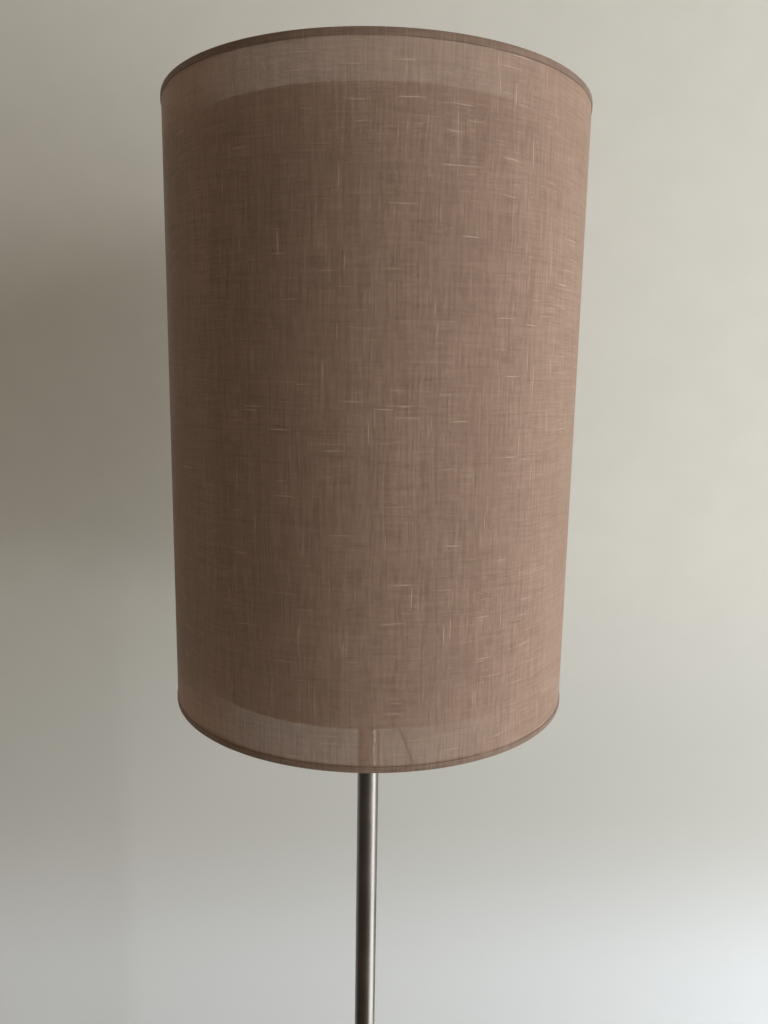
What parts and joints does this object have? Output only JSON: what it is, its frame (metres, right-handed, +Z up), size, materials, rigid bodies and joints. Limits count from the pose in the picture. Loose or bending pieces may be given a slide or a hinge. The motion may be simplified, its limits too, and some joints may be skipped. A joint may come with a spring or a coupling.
{
  "type": "drum shade floor lamp",
  "caption": "Floor lamp with a tall cylindrical linen drum shade round an inner diffuser, a slim straight brushed steel pole and a round weighted foot.",
  "frame": {"origin": "on the floor, at the centre of the round foot", "axes": "+Z up along the pole; -Y towards the front; +Y towards the cord inlet at the back of the foot"},
  "size_m": [0.35, 0.35, 1.56],
  "materials": {
    "brushed_pole_steel": "fine lengthwise brushing, satin",
    "cast_weight": "as cast, black primer",
    "floor_pad_foam": "dense foam, matt",
    "grommet_rubber": "moulded, satin",
    "zinc_steel": "bright zinc plating",
    "contact_brass": "stamped, bright",
    "terminal_plastic": "natural nylon",
    "live_insulation": "brown vinyl",
    "neutral_insulation": "blue vinyl",
    "holder_plastic": "moulded, satin black",
    "holder_porcelain": "glazed white",
    "screw_shell_metal": "rolled sheet, bright",
    "bulb_insulator_black": "glossy black",
    "bulb_opal": "opal, satin",
    "bulb_housing_white": "white, satin",
    "circuit_board": "white solder mask",
    "shade_linen": "slubby plain weave, taupe",
    "shade_laminate": "clear laminating film",
    "hem_tape": "taupe folded edge",
    "diffuser_white": "white, matt",
    "white_wire_frame": "white powder coat"
  },
  "bodies": {
    "stand": {"base_cover": "brushed_pole_steel", "base_weight": "cast_weight", "centre_contact": "contact_brass", "cord_grommet": "grommet_rubber", "floor_pad": "floor_pad_foam", "foot_lock_washer": "zinc_steel", "foot_nipple": "zinc_steel", "foot_nut": "zinc_steel", "foot_washer": "zinc_steel", "holder_core": "holder_porcelain", "holder_core_screws": "zinc_steel", "holder_dome": "holder_plastic", "holder_nipple": "zinc_steel", "holder_skirt": "holder_plastic", "joint_nipple": "zinc_steel", "live_wire": "live_insulation", "lower_pole": "brushed_pole_steel", "lower_pole_foot_insert": "zinc_steel", "lower_pole_top_insert": "zinc_steel", "neutral_wire": "neutral_insulation", "pole_collar": "brushed_pole_steel", "screw_shell": "screw_shell_metal", "service_plate": "zinc_steel", "service_screws": "zinc_steel", "switch_contacts": "contact_brass", "terminal_barrels": "contact_brass", "terminal_block": "terminal_plastic", "terminal_screws": "zinc_steel", "upper_pole": "brushed_pole_steel", "upper_pole_foot_insert": "zinc_steel", "upper_pole_top_insert": "zinc_steel"},
    "shade": {"bottom_hem_tape": "hem_tape", "inner_arm_1": "white_wire_frame", "inner_arm_2": "white_wire_frame", "inner_arm_3": "white_wire_frame", "inner_bottom_hoop": "white_wire_frame", "inner_diffuser": "diffuser_white", "inner_hub": "white_wire_frame", "inner_top_hoop": "white_wire_frame", "outer_arm_1": "white_wire_frame", "outer_arm_2": "white_wire_frame", "outer_arm_3": "white_wire_frame", "outer_bottom_hoop": "white_wire_frame", "outer_hub": "white_wire_frame", "outer_top_hoop": "white_wire_frame", "shade_fabric": "shade_linen", "shade_film": "shade_laminate", "top_hem_tape": "hem_tape"},
    "retaining_ring": {"retaining_ring": "holder_plastic"},
    "bulb": {"bulb_cap": "screw_shell_metal", "bulb_collar": "bulb_housing_white", "bulb_driver_board": "circuit_board", "bulb_eyelet": "contact_brass", "bulb_globe": "bulb_opal", "bulb_insulator": "bulb_insulator_black", "bulb_led_board": "circuit_board"},
    "switch_knob": {"switch_knob": "holder_plastic", "switch_shaft": "holder_plastic", "switch_rotor": "holder_plastic"}
  },
  "joints": [
    {"name": "shade_turn", "type": "hinge", "parent": "stand", "child": "shade", "pos_m": [0, 0, 1.089], "axis": [0, 0, 1], "continuous": true},
    {"name": "retaining_ring_turn", "type": "hinge", "parent": "stand", "child": "retaining_ring", "pos_m": [0, 0, 1.0963], "axis": [0, 0, 1], "continuous": true},
    {"name": "bulb_turn", "type": "hinge", "parent": "stand", "child": "bulb", "pos_m": [0, 0, 1.115], "axis": [0, 0, 1], "continuous": true},
    {"name": "switch_turn", "type": "hinge", "parent": "stand", "child": "switch_knob", "pos_m": [0, 0, 1.073], "axis": [0.9483, -0.3173, 0], "continuous": true}
  ]
}
